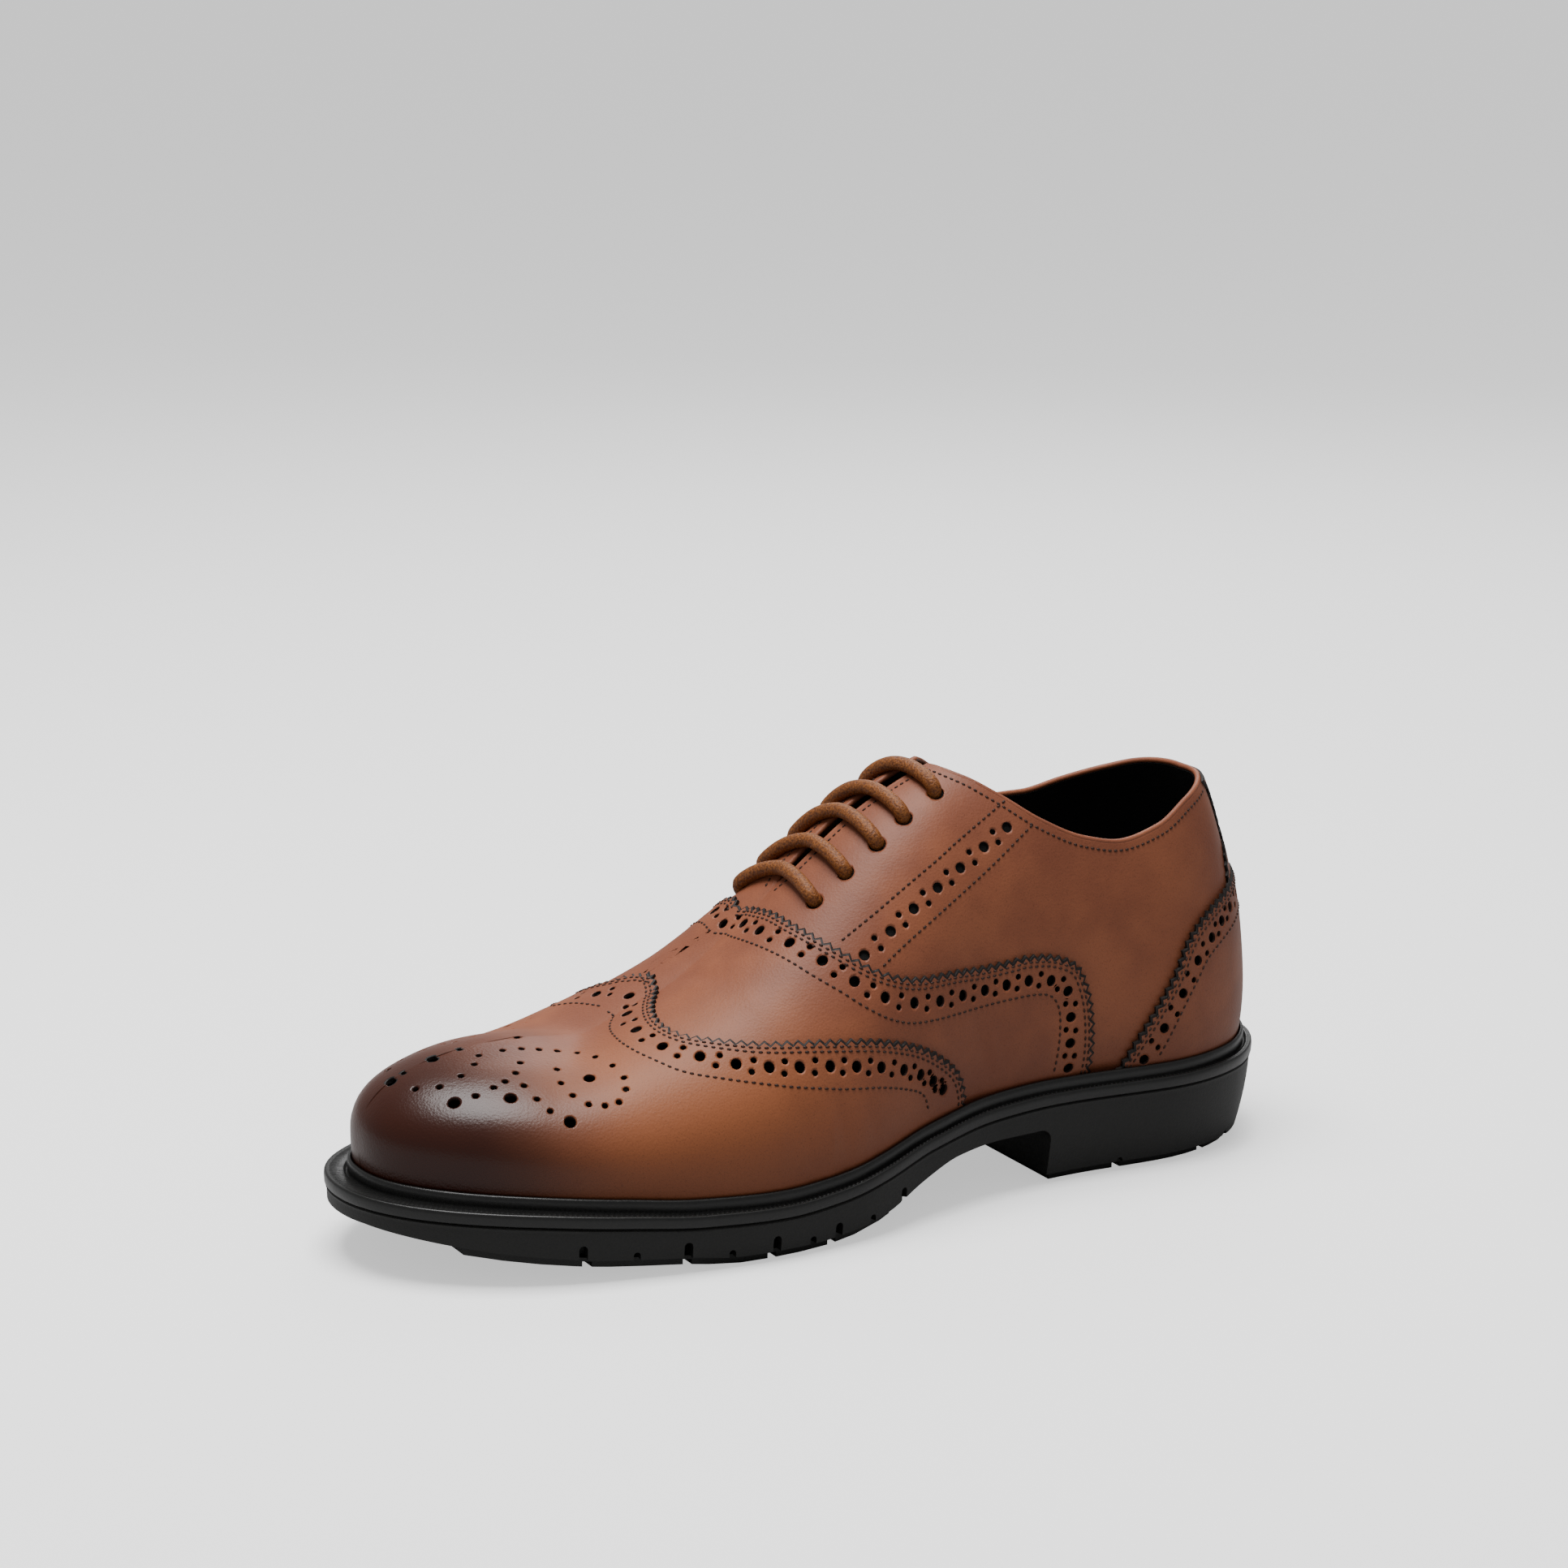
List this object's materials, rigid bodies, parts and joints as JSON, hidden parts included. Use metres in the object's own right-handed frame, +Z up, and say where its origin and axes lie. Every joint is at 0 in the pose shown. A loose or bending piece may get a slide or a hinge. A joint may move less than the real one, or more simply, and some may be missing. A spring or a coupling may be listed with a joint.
{
  "type": "brogue shoe",
  "caption": "Wing cap lace shoe with punched leather upper, storm welt and moulded rubber sole with a block heel.",
  "frame": {"origin": "on the floor below the middle of the shoe's length and width", "axes": "+X from heel to toe, +Y to the outer side of the left foot, +Z up"},
  "size_m": [0.2978, 0.1087, 0.1277],
  "materials": {
    "leather": "burnished calf, satin",
    "leather_overlay": "burnished calf, satin",
    "lining": "black lining, matt",
    "rubber_sole": "moulded black rubber, semi-matt",
    "lace": "waxed round cord"
  },
  "bodies": {
    "root": {"outsole": "rubber_sole", "welt": "rubber_sole", "heel_tread": "rubber_sole", "forepart_tread": "rubber_sole", "insole": "lining", "upper": "leather", "wing_cap": "leather_overlay", "vamp_overlay": "leather_overlay", "heel_counter": "leather_overlay", "back_strap": "leather_overlay", "tongue": "lining", "lace_bar_1": "lace", "lace_bar_2": "lace", "lace_bar_3": "lace", "lace_bar_4": "lace", "lace_bar_5": "lace"}
  },
  "joints": []
}
